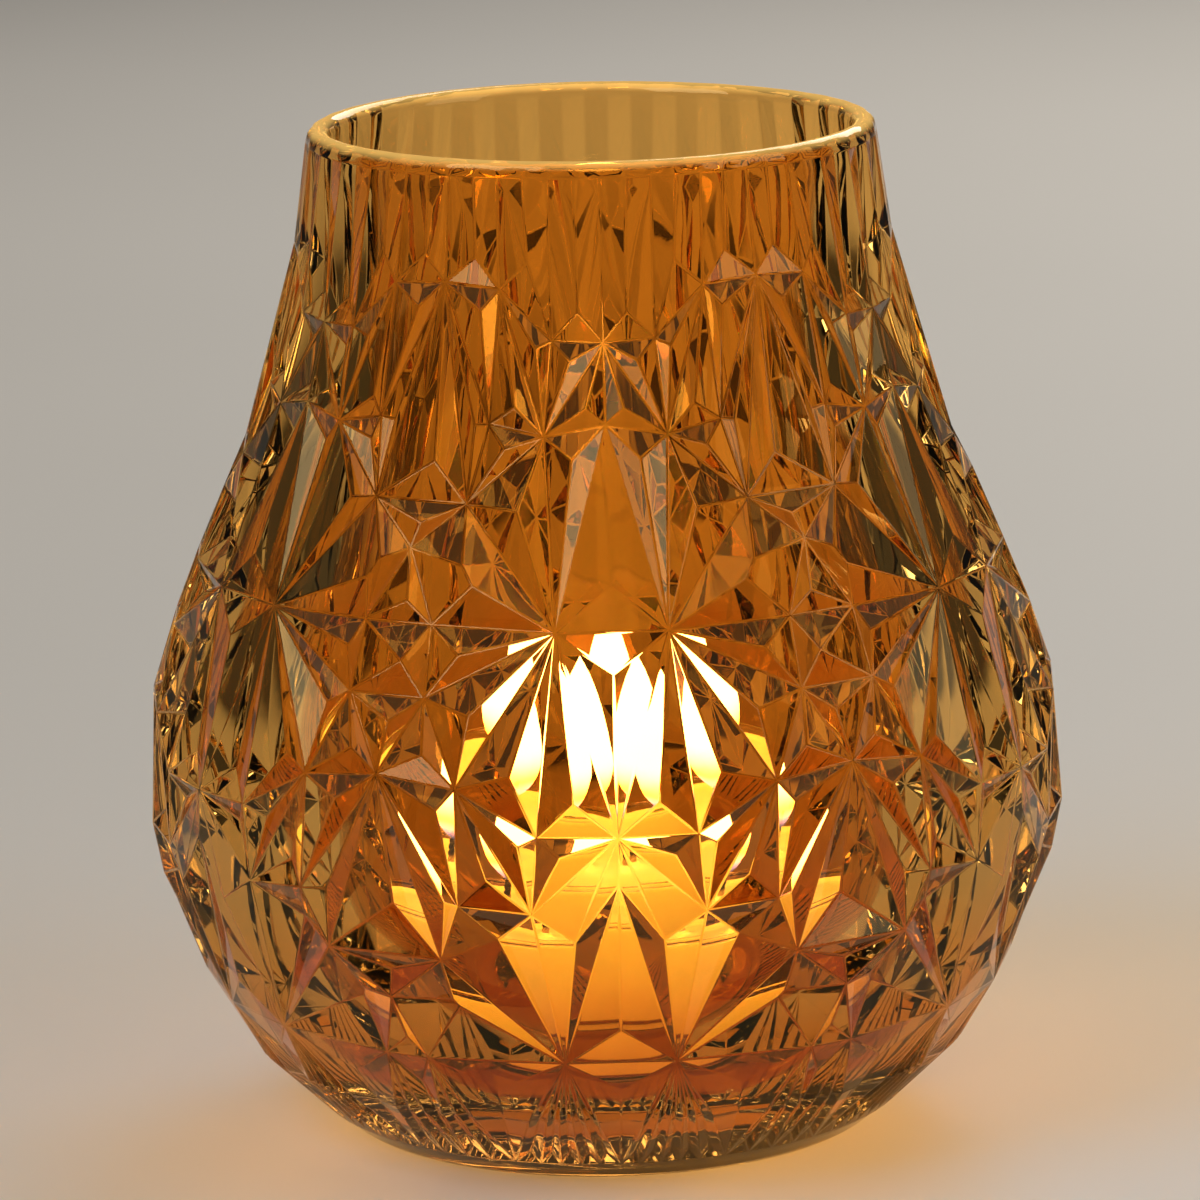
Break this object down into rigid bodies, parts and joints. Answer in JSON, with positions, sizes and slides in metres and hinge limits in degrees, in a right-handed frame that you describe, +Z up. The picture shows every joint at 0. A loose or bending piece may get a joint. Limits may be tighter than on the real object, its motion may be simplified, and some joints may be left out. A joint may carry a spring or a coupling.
{
  "type": "tealight holder",
  "caption": "Bellied star-cut pressed-glass tealight holder with an open neck, holding a lift-out tealight in a clear cup.",
  "frame": {"origin": "centre of the vase's foot, on the surface it stands on", "axes": "+Z up the axis of the vase; the cut pattern repeats six times and one of its mirror planes is the YZ plane, its front facing -Y"},
  "size_m": [0.1292, 0.132, 0.143],
  "materials": {
    "pressed_glass": "fire-polished",
    "clear_cup": "clear",
    "paraffin_wax": "waxy",
    "tinned_steel": "satin",
    "charred_cotton": "charred"
  },
  "bodies": {
    "vase": {"glass_vase": "pressed_glass"},
    "tealight": {"tealight_cup": "clear_cup"},
    "candle": {"tealight_wax": "paraffin_wax", "wick_tab": "tinned_steel", "wick": "charred_cotton"}
  },
  "joints": [
    {"name": "tealight_lift", "type": "slide", "parent": "vase", "child": "tealight", "axis": [0, 0, 1], "range_m": [0, 0.16]},
    {"name": "candle_lift", "type": "slide", "parent": "tealight", "child": "candle", "axis": [0, 0, 1], "range_m": [0, 0.035]}
  ]
}
